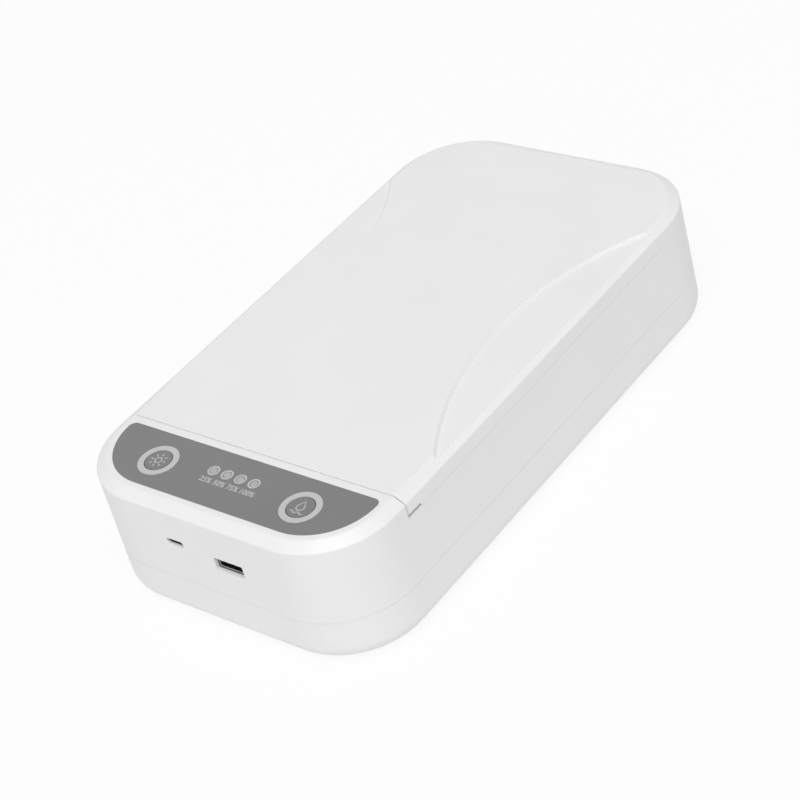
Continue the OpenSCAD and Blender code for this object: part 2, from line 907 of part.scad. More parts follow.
module driver_board() {
    color("seagreen")
        difference() {
            translate([-driver_w / 2, driver_y - driver_l / 2, driver_z])
                cube([driver_w, driver_l, driver_t]);
            for (x = [-driver_hole_x, driver_hole_x], y = [-driver_hole_y, driver_hole_y])
                translate([x, driver_y + y, driver_z - over])
                    cylinder(h = driver_t + 2 * over, r = screw_pass);
        }
}

// Ferrite core with its winding
module driver_transformer() {
    core = [transformer_w, transformer_l, transformer_h];
    leg = 3;
    bridge = 1.2;
    window = [core[0] + 2 * over, core[1] - 2 * leg, core[2] - 2 * bridge];
    winding_gap = 0.2;
    color("darkslategray")
        translate([transformer_x, driver_y, driver_top]) {
            difference() {
                translate([-core[0] / 2, -core[1] / 2, 0])
                    cube(core);
                translate([-window[0] / 2, -window[1] / 2, bridge])
                    cube(window);
            }
            translate([0, -window[1] / 2 - eps, core[2] / 2])
                rotate([-90, 0, 0])
                    cylinder(h = window[1] + 2 * eps, r = window[2] / 2 - winding_gap);
        }
}

module driver_capacitors() {
    can_r = 3;
    can_l = 11;
    can_pitch = 8;
    color("navy")
        for (i = [-1:1])
            translate([can_x, driver_y + i * can_pitch, driver_top + can_r])
                rotate([0, 90, 0])
                    cylinder(h = can_l, r = can_r);
}

module aroma_heater() {
    color("tan")
        translate([0, cup_y, floor_z - cup_d])
            cylinder(h = heater_t, r = cup_r - cup_slack);
}

module aroma_pad() {
    color("beige")
        translate([0, cup_y, floor_z - cup_d + heater_t])
            cylinder(h = pad_t, r = cup_r - cup_slack);
}

// The slotted cap over the pad, with a skirt that drops into the cup
module aroma_grille() {
    skirt_d = 1;
    skirt_t = 1;
    slot_w = 1.4;
    slot_pitch = 2.8;
    reach = cup_r - 2;
    color("white")
        translate([0, cup_y, floor_z])
            difference() {
                union() {
                    cylinder(h = grille_t, r = grille_r);
                    translate([0, 0, -skirt_d])
                        cylinder(h = skirt_d + eps, r = cup_r - fit);
                }
                translate([0, 0, -skirt_d - over])
                    cylinder(h = skirt_d + over, r = cup_r - fit - skirt_t);
                for (i = [-2:2])
                    translate([0, i * slot_pitch, -over])
                        bar(2 * sqrt(pow(reach, 2) - pow(i * slot_pitch, 2)), slot_w, grille_t + 2 * over);
            }
}

module lid_sensor() {
    body = [3.6, 14, 2];
    color("black")
        translate([-sensor_x - body[0] / 2, sensor_y - body[1] / 2, rim_z - rim_t - body[2]])
            cube(body);
}

module base_magnets() {
    color("silver")
        for (x = [-magnet_x, magnet_x])
            translate([x, magnet_y, rim_z - magnet_skin - magnet_h])
                cylinder(h = magnet_h, r = magnet_r);
}

module hinge_pins() {
    color("silver")
        for (side = [-1, 1])
            rod(pin_r, side * hinge_x - pin_reach, side * hinge_x + pin_reach, hinge_y, hinge_z);
}

module case_screws() {
    color("gray")
        at_feet([-foot_y, foot_y])
            translate([0, 0, head_seat])
                screw(screw_end - head_seat);
}

module board_screws() {
    color("gray") {
        for (x = [-board_boss_x, board_boss_x], y = board_boss_y)
            translate([x, y, board_z])
                screw(board_t + board_bite);
        for (x = [-driver_hole_x, driver_hole_x], y = [-driver_hole_y, driver_hole_y])
            translate([x, driver_y + y, driver_top])
                mirror([0, 0, 1])
                    screw(driver_t + driver_bite);
    }
}

module rubber_feet() {
    bevel = 0.4;
    top = under_z + foot_pocket - fit / 2;
    color("dimgray")
        at_feet([-foot_y, foot_y])
            rotate_extrude()
                polygon([[0, 0], [foot_r - bevel, 0], [foot_r, bevel], [foot_r, top], [0, top]]);
}

// Everything above a scallop's floor, lowered by an offset for the inside of the skin
module scallop(offset_z) {
    z = top_z - offset_z;
    span = 100;
    for (side = [0, 1])
        mirror([side, 0, 0])
            translate([waist + scallop_r, waist_y, 0])
                rotate([0, 0, 180 - span / 2])
                    rotate_extrude(angle = span, $fn = 180)
                        polygon([
                            [0, z - step_h], [scallop_r - step_w, z - step_h], [scallop_r, z],
                            [scallop_r, top_z + over], [0, top_z + over]]);
}

module lid_cavity() {
    difference() {
        intersection() {
            cavity_block(rim_z - over, lid_ceiling);
            across(lid_front + end_wall, case_l, 0, top_z);
        }
        scallop(lid_skin);
    }
}

// A knuckle hangs from the skin and the end wall
module knuckle(x) {
    rod(knuckle_r, x - knuckle_w / 2, x + knuckle_w / 2, hinge_y, hinge_z);
    translate([x - knuckle_w / 2, lid_front + eps, hinge_z])
        cube([knuckle_w, hinge_back + knuckle_r, hinge_drop - lid_skin / 2]);
    translate([x - knuckle_w / 2, lid_front + eps, hinge_z - knuckle_r / 2])
        cube([knuckle_w, hinge_back, knuckle_r]);
}

// Room for an ear as the lid turns
module ear_room(x) {
    room_w = ear_w + 2 * hinge_side_gap;
    translate([x - room_w / 2, lid_front - over, rim_z - over])
        cube([room_w, over + hinge_back + 4, hinge_z + knuckle_r + 0.25 - rim_z + over]);
}

module lid_shell() {
    color("white")
        difference() {
            union() {
                difference() {
                    intersection() {
                        case_block();
                        across(lid_front, case_l, rim_z + lid_gap, top_z + over);
                    }
                    scallop(0);
                    lid_cavity();
                }
                for (side = [-1, 1])
                    knuckle(side * hinge_x);
                for (x = liner_boss_x, y = liner_boss_y, side = [-1, 1])
                    translate([side * x, y, liner_top])
                        cylinder(h = lid_ceiling + eps - liner_top, r = liner_boss_r);
                for (x = [-magnet_x, magnet_x])
                    translate([x, magnet_y, lid_magnet_z])
                        cylinder(h = lid_ceiling + eps - lid_magnet_z, r = magnet_r + 1);
                translate([-sensor_magnet_x, sensor_magnet_y, lid_ceiling - sensor_boss_h])
                    cylinder(h = sensor_boss_h + eps, r = sensor_magnet_r + 1);
            }
            for (side = [-1, 1], x = ear_spans(side))
                ear_room(x);
            for (side = [-1, 1])
                rod(pin_r + bore_gap, side * hinge_x - bore_reach, side * hinge_x + bore_reach, hinge_y, hinge_z);
            across(lid_front - over, lid_front + end_wall + eps, 0, rim_z + relief_h);
            across(lid_front - over, lid_front + relief_l, 0, rim_z + relief_h);
            seam_edge();
            for (x = liner_boss_x, y = liner_boss_y, side = [-1, 1])
                translate([side * x, y, liner_top - over])
                    cylinder(h = over + liner_bite + point_room, r = screw_hole);
            for (x = [-magnet_x, magnet_x])
                translate([x, magnet_y, lid_magnet_z - over])
                    cylinder(h = magnet_h + over + fit, r = magnet_r + fit);
            translate([-sensor_magnet_x, sensor_magnet_y, lid_ceiling - sensor_boss_h - over])
                cylinder(h = sensor_magnet_h + over, r = sensor_magnet_r + fit);
        }
}

// Rounds the lid's top edge along the seam
module seam_edge() {
    r = seam_round;
    translate([-case_w, lid_front, top_z])
        rotate([90, 0, 90])
            linear_extrude(2 * case_w)
                polygon(concat(
                    [[-over, over], [-over, -r]],
                    arc(r, -r, r, 180, 90, 4),
                    [[r, over]]));
}

module lid_liner() {
    z0 = liner_z;
    r = wall_r(rim_z) - liner_inset;
    color("whitesmoke")
        difference() {
            intersection() {
                round_block(corner_x, corner_y, [[0, z0], [r, z0], [r, liner_top], [0, liner_top]]);
                across(liner_near, case_l, 0, top_z);
            }
            for (side = [-1, 1])
                translate([side * lamp_x - window_w / 2, lamp_y - window_l / 2, z0 - over])
                    cube([window_w, window_l, liner_t + 2 * over]);
            for (x = liner_boss_x, y = liner_boss_y, side = [-1, 1])
                translate([side * x, y, z0 - over])
                    cylinder(h = liner_t + 2 * over, r = screw_pass);
        }
}

// Bright troughs that arch over the lamps and stand on the liner
module lamp_reflectors() {
    half = window_w / 2 + reflector_t;
    rise = reflector_top - liner_top - reflector_t;
    r = (half * half + rise * rise) / (2 * rise);
    cz = reflector_top - r;
    edge = asin(half / r);
    color("silver")
        for (side = [-1, 1])
            translate([side * lamp_x, lamp_y + window_l / 2, 0])
                rotate([90, 0, 0])
                    linear_extrude(window_l)
                        polygon(concat(
                            [[half + flange_w, liner_top], [half + flange_w, liner_top + reflector_t]],
                            arc(0, cz, r + reflector_t, 90 - edge, 90 + edge, 16),
                            [[-half - flange_w, liner_top + reflector_t], [-half - flange_w, liner_top]],
                            arc(0, cz, r, 90 + edge, 90 - edge, 16)));
}

module uv_lamps() {
    color("lavender")
        for (side = [-1, 1])
            translate([side * lamp_x, lamp_y - lamp_l / 2, lamp_z])
                rotate([-90, 0, 0])
                    cylinder(h = lamp_l, r = lamp_r);
}

module lamp_holders() {
    end_t = 0.8;
    color("gainsboro")
        for (side = [-1, 1], k = [0, 1])
            translate([side * lamp_x, lamp_y, 0])
                mirror([0, k, 0])
                    translate([0, lamp_l / 2 + end_t - holder_l, 0])
                        difference() {
                            translate([-holder_w / 2, 0, liner_top])
                                cube([holder_w, holder_l, lid_ceiling - liner_top - fit]);
                            translate([0, -over, lamp_z])
                                rotate([-90, 0, 0])
                                    cylinder(h = over + holder_l - end_t, r = lamp_r);
                        }
}

module lid_magnets() {
    color("silver")
        for (x = [-magnet_x, magnet_x])
            translate([x, magnet_y, lid_magnet_z])
                cylinder(h = magnet_h, r = magnet_r);
}

module sensor_magnet() {
    color("silver")
        translate([-sensor_magnet_x, sensor_magnet_y, lid_ceiling - sensor_boss_h])
            cylinder(h = sensor_magnet_h, r = sensor_magnet_r);
}

module liner_screws() {
    color("gray")
        for (x = liner_boss_x, y = liner_boss_y, side = [-1, 1])
            translate([side * x, y, liner_z])
                screw(liner_t + liner_bite, low_head);
}

housing();
bottom_cover();
chamber_tub();
chamber_reflector();
control_panel();
key_rings();
left_key();
right_key();
led_bezels();
light_pipes();
main_board();
status_leds();
key_switches();
usb_socket();
usb_tongue();
micro_socket();
micro_tongue();
driver_board();
driver_transformer();
driver_capacitors();
aroma_heater();
aroma_pad();
aroma_grille();
lid_sensor();
base_magnets();
hinge_pins();
case_screws();
board_screws();
rubber_feet();
lid_shell();
lid_liner();
lamp_reflectors();
uv_lamps();
lamp_holders();
lid_magnets();
sensor_magnet();
liner_screws();
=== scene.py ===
"""Looks for the pacifier sterilizer case: finishes, printed marks, ports, lamp tubes, studio and camera.

Everything is in metres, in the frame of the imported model.
"""

import json
from math import cos, pi, radians, sin, sqrt

import bmesh
import bpy
from mathutils import Matrix, Vector


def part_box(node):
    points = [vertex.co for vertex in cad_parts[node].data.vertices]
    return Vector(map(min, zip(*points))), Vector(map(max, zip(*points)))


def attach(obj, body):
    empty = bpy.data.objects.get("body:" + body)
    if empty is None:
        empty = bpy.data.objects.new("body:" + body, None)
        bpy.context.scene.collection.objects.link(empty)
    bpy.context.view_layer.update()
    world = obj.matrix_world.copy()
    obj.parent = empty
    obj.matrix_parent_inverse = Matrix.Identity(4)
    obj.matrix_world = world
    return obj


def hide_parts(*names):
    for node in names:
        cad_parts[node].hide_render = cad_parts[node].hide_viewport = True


MM = 0.001

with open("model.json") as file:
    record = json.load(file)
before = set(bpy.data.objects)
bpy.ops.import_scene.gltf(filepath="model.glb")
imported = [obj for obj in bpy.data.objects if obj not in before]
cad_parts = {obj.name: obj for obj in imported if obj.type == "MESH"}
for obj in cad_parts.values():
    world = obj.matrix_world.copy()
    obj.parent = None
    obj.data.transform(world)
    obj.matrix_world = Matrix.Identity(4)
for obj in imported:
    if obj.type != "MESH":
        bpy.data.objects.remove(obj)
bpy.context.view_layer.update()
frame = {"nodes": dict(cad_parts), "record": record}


# Places read from the model

LED_COUNT = 4


def middle(node):
    low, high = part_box(node)
    return (Vector(low) + Vector(high)) / 2


def top_of(node):
    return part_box(node)[1][2]


def led_places():
    """The middle of each light pipe's upper end, and the pipes' radius."""
    low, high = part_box("light_pipes")
    radius = (high[1] - low[1]) / 2
    first, last = low[0] + radius, high[0] - radius
    step = (last - first) / (LED_COUNT - 1)
    return [Vector((first + i * step, low[1] + radius, high[2])) for i in range(LED_COUNT)], radius


def lamp_axes():
    """The middle of each lamp tube, their radius and half their length."""
    low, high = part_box("uv_lamps")
    radius = (high[2] - low[2]) / 2
    half = (high[1] - low[1]) / 2
    y, z = (low[1] + high[1]) / 2, (low[2] + high[2]) / 2
    return [Vector((x, y, z)) for x in (low[0] + radius, high[0] - radius)], radius, half


# Nodes for shaders and shapes

NOISE_LOW, NOISE_HIGH = 0.3, 0.7


def feed(tree, node, inputs):
    """Links each socket and sets each plain value, by the input's name or index."""
    for key, value in inputs.items():
        if isinstance(value, bpy.types.NodeSocket):
            tree.links.new(value, node.inputs[key])
        else:
            node.inputs[key].default_value = value


def add(tree, kind, inputs=None, **settings):
    """A new node, a shader one unless kind says more, with its settings and inputs."""
    node = tree.nodes.new(kind if "Node" in kind else "ShaderNode" + kind)
    for key, value in settings.items():
        setattr(node, key, value)
    feed(tree, node, inputs or {})
    return node


def calc(tree, operation, first, second):
    """One step of arithmetic with sockets or numbers."""
    return add(tree, "Math", {0: first, 1: second}, operation=operation).outputs[0]


def place(tree, stretch=(1, 1, 1)):
    """Object coordinates, stretched for a pattern that runs one way."""
    coords = add(tree, "TexCoord").outputs["Object"]
    return add(tree, "Mapping", {"Vector": coords, "Scale": stretch}).outputs["Vector"]


def noise(tree, size, detail=2.0, vector=None):
    """Noise whose blobs are about size across, in metres."""
    vector = vector or place(tree)
    return add(tree, "TexNoise", {"Vector": vector, "Scale": 1 / size, "Detail": detail}).outputs["Fac"]


def span(tree, value, low, high):
    """Spreads a noise value over the range low to high."""
    return add(tree, "MapRange", {
        "Value": value, "From Min": NOISE_LOW, "From Max": NOISE_HIGH,
        "To Min": low, "To Max": high}).outputs["Result"]


def shades(tree, value, dark, light):
    """Spreads a noise value over the colours between dark and light."""
    ramp = add(tree, "ValToRGB", {"Fac": value})
    ends = ramp.color_ramp.elements
    ends[0].position, ends[1].position = NOISE_LOW, NOISE_HIGH
    ends[0].color, ends[1].color = (*dark, 1), (*light, 1)
    return ramp.outputs["Color"]


def scaled(color, factor):
    return tuple(min(1.0, channel * factor) for channel in color)


def bump(tree, height, depth, normal=None):
    """Relief of the given depth in metres, over another normal where one is given."""
    inputs = {"Height": height, "Distance": depth, "Strength": 1.0}
    if normal:
        inputs["Normal"] = normal
    return add(tree, "Bump", inputs).outputs["Normal"]


# Finishes

finishes = {}


def new_finish(name):
    """The tree and shader of a new material, which is kept in finishes under its name."""
    material = bpy.data.materials.new(name)
    material.use_nodes = True
    finishes[name] = material
    tree = material.node_tree
    return tree, tree.nodes["Principled BSDF"]


def moulded(name, color, rough, grain=0.35 * MM, relief=0.004 * MM, cloud=0.012, edge=0.22 * MM):
    """Moulded plastic: a faint drift of tone, a fine spark-eroded grain and softened edges."""
    tree, shader = new_finish(name)
    drift = noise(tree, size=28 * MM, detail=3.0)
    patches = noise(tree, size=9 * MM)
    soft = add(tree, "Bevel", {"Radius": edge}, samples=6).outputs["Normal"] if edge else None
    feed(tree, shader, {
        "Base Color": shades(tree, drift, scaled(color, 1 - cloud), scaled(color, 1 + cloud)),
        "Roughness": span(tree, patches, rough - 0.03, rough + 0.03),
        "Normal": bump(tree, noise(tree, grain), relief, soft),
        "IOR": 1.49})


def metal(name, color, rough, stretch=(1, 1, 1)):
    """Sheet or turned metal, whose fine mottle a stretch draws out into streaks."""
    tree, shader = new_finish(name)
    mottle = noise(tree, size=0.25 * MM, detail=3.0, vector=place(tree, stretch))
    feed(tree, shader, {
        "Base Color": shades(tree, mottle, scaled(color, 0.9), scaled(color, 1.05)),
        "Roughness": span(tree, mottle, rough - 0.05, rough + 0.07),
        "Normal": bump(tree, mottle, 0.002 * MM),
        "Metallic": 1.0})


def solder_mask(name):
    """Green board with tracks under the mask."""
    tree, shader = new_finish(name)
    tracks = add(tree, "TexBrick", {
        "Vector": place(tree), "Scale": 1.0,
        "Color1": (0.012, 0.17, 0.07, 1), "Color2": (0.016, 0.21, 0.09, 1), "Mortar": (0.006, 0.10, 0.045, 1),
        "Brick Width": 4.2 * MM, "Row Height": 1.5 * MM, "Mortar Size": 0.18 * MM}).outputs
    feed(tree, shader, {
        "Base Color": tracks["Color"],
        "Roughness": span(tree, noise(tree, size=6 * MM), 0.28, 0.4),
        "Normal": bump(tree, tracks["Fac"], 0.03 * MM)})


def felt(name, color):
    """Pressed felt: matted fibres over a soft unevenness."""
    tree, shader = new_finish(name)
    fibres = noise(tree, size=0.25 * MM, detail=6.0, vector=place(tree, (1, 0.4, 1)))
    lumps = noise(tree, size=2.2 * MM)
    feed(tree, shader, {
        "Base Color": shades(tree, fibres, scaled(color, 0.8), scaled(color, 1.06)),
        "Roughness": span(tree, lumps, 0.85, 0.98),
        "Normal": bump(tree, fibres, 0.12 * MM, bump(tree, lumps, 0.2 * MM)),
        "Sheen Weight": 0.3})


def dull(name, color, rough):
    """Rubber, ferrite or ceramic, with a faint bloom."""
    tree, shader = new_finish(name)
    bloom = noise(tree, size=3 * MM, detail=4.0)
    feed(tree, shader, {
        "Base Color": shades(tree, bloom, scaled(color, 0.85), scaled(color, 1.15)),
        "Roughness": span(tree, bloom, rough - 0.06, rough + 0.08),
        "Normal": bump(tree, noise(tree, size=0.4 * MM, detail=3.0), 0.02 * MM)})


def quartz(name):
    """Clear quartz with faint draw lines along the tube."""
    tree, shader = new_finish(name)
    draw = noise(tree, size=0.8 * MM, detail=1.0, vector=place(tree, (1, 0.04, 1)))
    feed(tree, shader, {
        "Base Color": shades(tree, draw, (0.93, 0.94, 0.99), (0.98, 0.98, 1.0)),
        "Roughness": span(tree, draw, 0.02, 0.06),
        "Normal": bump(tree, draw, 0.003 * MM),
        "Transmission Weight": 1.0,
        "IOR": 1.46})


def lens(name, color, rough):
    """Smoked plastic with a diffusing core."""
    tree, shader = new_finish(name)
    swirl = noise(tree, size=1.1 * MM)
    feed(tree, shader, {
        "Base Color": shades(tree, swirl, scaled(color, 0.94), scaled(color, 1.08)),
        "Roughness": span(tree, swirl, rough - 0.04, rough + 0.04),
        "Normal": bump(tree, noise(tree, size=0.3 * MM), 0.003 * MM),
        "Coat Weight": 0.3})


moulded("white_shell", (0.842, 0.842, 0.844), rough=0.38)
moulded("white_inner", (0.78, 0.78, 0.79), rough=0.45, grain=0.5 * MM, relief=0.008 * MM)
metal("bright_sheet", (0.84, 0.85, 0.86), rough=0.16, stretch=(1, 0.03, 1))
moulded("grey_panel", (0.188, 0.188, 0.19), rough=0.42, grain=0.22 * MM, relief=0.006 * MM,
        cloud=0.03, edge=0.1 * MM)
moulded("light_guide", (0.535, 0.535, 0.54), rough=0.4, grain=0.25 * MM, edge=0.1 * MM)
lens("grey_lens", (0.26, 0.26, 0.263), rough=0.22)
solder_mask("circuit_board")
moulded("lamp_chip", (0.82, 0.79, 0.6), rough=0.4)
moulded("black_plastic", (0.028, 0.028, 0.03), rough=0.45, edge=0.08 * MM, cloud=0.08)
metal("plated_steel", (0.66, 0.66, 0.665), rough=0.24, stretch=(1, 0.06, 1))
dull("ferrite", (0.085, 0.085, 0.09), rough=0.6)
moulded("capacitor_sleeve", (0.03, 0.05, 0.18), rough=0.3)
dull("heater_ceramic", (0.72, 0.66, 0.56), rough=0.8)
felt("felt_pad", (0.84, 0.82, 0.76))
metal("magnet", (0.7, 0.7, 0.71), rough=0.2)
dull("foot_rubber", (0.26, 0.26, 0.27), rough=0.7)
quartz("quartz_tube")
dull("lamp_silicone", (0.74, 0.74, 0.74), rough=0.55)
moulded("panel_print", (0.48, 0.48, 0.485), rough=0.5, grain=0.15 * MM, relief=0.003 * MM,
        cloud=0.05, edge=0)
# A lighter copy of the lens finish for the domes: the lighter dome is painted light, and the darker pipe top
# left round it is a painted shade ring
lens("lens_crown_painted_light", (0.4, 0.4, 0.404), rough=0.2)
metal("contact_gold", (0.83, 0.62, 0.27), rough=0.25)


# Objects and meshes

JOIN_DISTANCE = 0.0005 * MM


def put(name, data):
    """A new object in the scene, at the origin."""
    made = bpy.data.objects.new(name, data)
    bpy.context.scene.collection.objects.link(made)
    return made


def keep(name, mesh, finish, body):
    """A finished piece that rides on a body."""
    piece = put(name, mesh)
    mesh.name = name
    mesh.materials.clear()
    mesh.materials.append(finishes[finish])
    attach(piece, body)
    return piece


def closed_mesh(shape):
    """The mesh of a bmesh, with its seams joined and its faces turned outward."""
    bmesh.ops.remove_doubles(shape, verts=shape.verts, dist=JOIN_DISTANCE)
    bmesh.ops.recalc_face_normals(shape, faces=shape.faces)
    mesh = bpy.data.meshes.new("closed")
    shape.to_mesh(mesh)
    shape.free()
    return mesh


def plain_mesh(holder):
    """What an object's data and modifiers make, as a plain mesh; the object goes."""
    bpy.context.view_layer.update()
    graph = bpy.context.evaluated_depsgraph_get()
    mesh = bpy.data.meshes.new_from_object(holder.evaluated_get(graph))
    bpy.data.objects.remove(holder)
    return mesh


def arc_points(cx, cy, radius, start, end, steps):
    """Points on an arc between two angles in degrees."""
    turns = [radians(start + (end - start) * i / steps) for i in range(steps + 1)]
    return [(cx + radius * cos(turn), cy + radius * sin(turn)) for turn in turns]


# Geometry Nodes trees

def spoken(name):
    """A size's name as its input is labelled."""
    return name.replace("_", " ")


def shape_tree(name, **sizes):
    """A tree with a named input for each size, its inputs and the socket for its result."""
    tree = bpy.data.node_groups.new(name, "GeometryNodeTree")
    tree.interface.new_socket("Geometry", in_out="INPUT", socket_type="NodeSocketGeometry")
    for label, value in sizes.items():
        kind = "NodeSocketInt" if isinstance(value, int) else "NodeSocketFloat"
        socket = tree.interface.new_socket(spoken(label), in_out="INPUT", socket_type=kind)
        socket.default_value = value
    tree.interface.new_socket("Geometry", in_out="OUTPUT", socket_type="NodeSocketGeometry")
    given = tree.nodes.new("NodeGroupInput").outputs
    result = tree.nodes.new("NodeGroupOutput").inputs["Geometry"]
    return tree, given, result


def repeat(tree, given, result, shape):
    """Ends a tree with one copy of a shape on every point of its input mesh."""
    finish = tree.interface.new_socket("Finish", in_out="INPUT", socket_type="NodeSocketMaterial").name
    copies = add(tree, "GeometryNodeInstanceOnPoints", {"Points": given["Geometry"], "Instance": shape})
    solid = add(tree, "GeometryNodeRealizeInstances", {"Geometry": copies.outputs[0]})
    done = add(tree, "GeometryNodeSetMaterial", {"Geometry": solid.outputs[0], "Material": given[finish]})
    tree.links.new(done.outputs[0], result)
    return tree


def grown(tree, places, finish, **sizes):
    """The closed mesh that a tree makes on a list of places."""
    points = bpy.data.meshes.new("places")
    points.from_pydata(places, [], [])
    holder = put("places", points)
    modifier = holder.modifiers.new("copies", "NODES")
    modifier.node_group = tree
    sockets = {item.name: item.identifier for item in tree.interface.items_tree if item.in_out == "INPUT"}
    for label, value in sizes.items():
        modifier[sockets[spoken(label)]] = value
    modifier[sockets["Finish"]] = finishes[finish]
    shape = bmesh.new()
    shape.from_mesh(plain_mesh(holder))
    return closed_mesh(shape)


def crease_tree():
    """Joins the loose triangles of a CAD mesh and shades them smooth up to an angle."""
    tree, given, result = shape_tree("crease", Join_Distance=0.002 * MM, Crease_Angle=radians(28))
    merge = add(tree, "GeometryNodeMergeByDistance", {
        "Geometry": given["Geometry"], "Distance": given["Join Distance"]})
    faces = add(tree, "GeometryNodeSetShadeSmooth", {"Geometry": merge.outputs[0], "Shade Smooth": True})
    angle = add(tree, "GeometryNodeInputMeshEdgeAngle").outputs["Unsigned Angle"]
    sharp = add(tree, "FunctionNodeCompare", {0: angle, 1: given["Crease Angle"]},
                data_type="FLOAT", operation="GREATER_THAN")
    edges = add(tree, "GeometryNodeSetShadeSmooth", {
        "Geometry": faces.outputs[0], "Selection": sharp.outputs["Result"], "Shade Smooth": False},
        domain="EDGE")
    tree.links.new(edges.outputs[0], result)
    return tree


def dome_tree():
    """Indicator lenses: a thin disc with a domed top."""
    tree, given, result = shape_tree(
        "lens_dome", Radius=1.6 * MM, Base=0.04 * MM, Crown=0.3 * MM, Rings=7)
    disc = add(tree, "GeometryNodeMeshCylinder", {
        "Vertices": 40, "Fill Segments": given["Rings"], "Radius": given["Radius"], "Depth": given["Base"]})
    spot = add(tree, "GeometryNodeInputPosition").outputs[0]
    flat = add(tree, "VectorMath", {0: spot, 1: (1, 1, 0)}, operation="MULTIPLY").outputs["Vector"]
    reach = add(tree, "VectorMath", {0: flat}, operation="LENGTH").outputs["Value"]
    share = calc(tree, "DIVIDE", reach, given["Radius"])
    fall = calc(tree, "SUBTRACT", 1.0, calc(tree, "MULTIPLY", share, share))
    rise = calc(tree, "MULTIPLY", fall, given["Crown"])
    domed = add(tree, "GeometryNodeSetPosition", {
        "Geometry": disc.outputs["Mesh"], "Selection": disc.outputs["Top"],
        "Offset": add(tree, "CombineXYZ", {"Z": rise}).outputs[0]})
    smooth = add(tree, "GeometryNodeSetShadeSmooth", {"Geometry": domed.outputs[0]})
    return repeat(tree, given, result, smooth.outputs[0])


def coil_tree():
    """Lamp electrodes: a coiled wire on a straight lead that runs back to the tube's end."""
    tree, given, result = shape_tree(
        "electrode", Coil_Radius=0.5 * MM, Coil_Length=3.2 * MM, Wire_Radius=0.09 * MM,
        Lead_Length=5.0 * MM, Turns=9)
    coil = add(tree, "GeometryNodeCurveSpiral", {
        "Resolution": 14, "Rotations": given["Turns"], "Start Radius": given["Coil Radius"],
        "End Radius": given["Coil Radius"], "Height": given["Coil Length"]})
    foot = calc(tree, "MULTIPLY", given["Lead Length"], -1.0)
    lead = add(tree, "GeometryNodeCurvePrimitiveLine", {
        "Start": add(tree, "CombineXYZ", {"X": given["Coil Radius"], "Z": foot}).outputs[0],
        "End": add(tree, "CombineXYZ", {"X": given["Coil Radius"]}).outputs[0]})
    both = add(tree, "GeometryNodeJoinGeometry")
    tree.links.new(coil.outputs[0], both.inputs[0])
    tree.links.new(lead.outputs[0], both.inputs[0])
    ring = add(tree, "GeometryNodeCurvePrimitiveCircle", {"Resolution": 10, "Radius": given["Wire Radius"]})
    wire = add(tree, "GeometryNodeCurveToMesh", {
        "Curve": both.outputs[0], "Profile Curve": ring.outputs[0], "Fill Caps": True})
    smooth = add(tree, "GeometryNodeSetShadeSmooth", {"Geometry": wire.outputs[0]})
    laid = add(tree, "GeometryNodeTransform", {"Geometry": smooth.outputs[0], "Rotation": (-pi / 2, 0, 0)})
    return repeat(tree, given, result, laid.outputs[0])


def contact_tree():
    """Port contacts: a strip that dips away from its tongue near the mouth."""
    tree, given, result = shape_tree(
        "contact", Width=1.0 * MM, Thickness=0.12 * MM, Length=7.0 * MM, Dip=0.3 * MM)
    bend = calc(tree, "MULTIPLY", given["Length"], 0.25)
    drop = calc(tree, "MULTIPLY", given["Dip"], -2.0)
    line = add(tree, "GeometryNodeCurveQuadraticBezier", {
        "Resolution": 12, "Start": (0, 0, 0),
        "Middle": add(tree, "CombineXYZ", {"Y": bend, "Z": drop}).outputs[0],
        "End": add(tree, "CombineXYZ", {"Y": given["Length"]}).outputs[0]})
    upright = add(tree, "GeometryNodeSetCurveNormal", {"Curve": line.outputs[0]}, mode="Z_UP")
    strip = add(tree, "GeometryNodeCurvePrimitiveQuadrilateral", {
        "Width": given["Width"], "Height": given["Thickness"]})
    bent = add(tree, "GeometryNodeCurveToMesh", {
        "Curve": upright.outputs[0], "Profile Curve": strip.outputs[0], "Fill Caps": True})
    return repeat(tree, given, result, bent.outputs[0])


# The CAD nodes' surfaces

def dress_nodes():
    """Gives each CAD node the finish of its material slot, and smooth shading between its creases."""
    crease = crease_tree()
    slots = {part["node"]: part["material_slot"] for part in frame["record"]["subparts"]}
    for name, node in frame["nodes"].items():
        node.data.materials.clear()
        node.data.materials.append(finishes[slots[name]])
        node.modifiers.new("crease", "NODES").node_group = crease
        node.modifiers.new("weights", "WEIGHTED_NORMAL").keep_sharp = True


# Marks on the keys

PRINT_DEPTH = 0.03 * MM
MARK_STROKE = 0.48 * MM


def stroke(points, width, closed):
    """Both edges of a line of points, mitred where it bends."""
    count = len(points)
    left, right = [], []
    for i, (x, y) in enumerate(points):
        before = points[i - 1] if closed or i else points[i]
        after = points[(i + 1) % count] if closed or i < count - 1 else points[i]
        dx, dy = after[0] - before[0], after[1] - before[1]
        length = sqrt(dx * dx + dy * dy)
        nx, ny = -dy / length * width / 2, dx / length * width / 2
        left.append((x + nx, y + ny))
        right.append((x - nx, y - ny))
    if closed:
        return left + left[:1], right + right[:1]
    return left, right


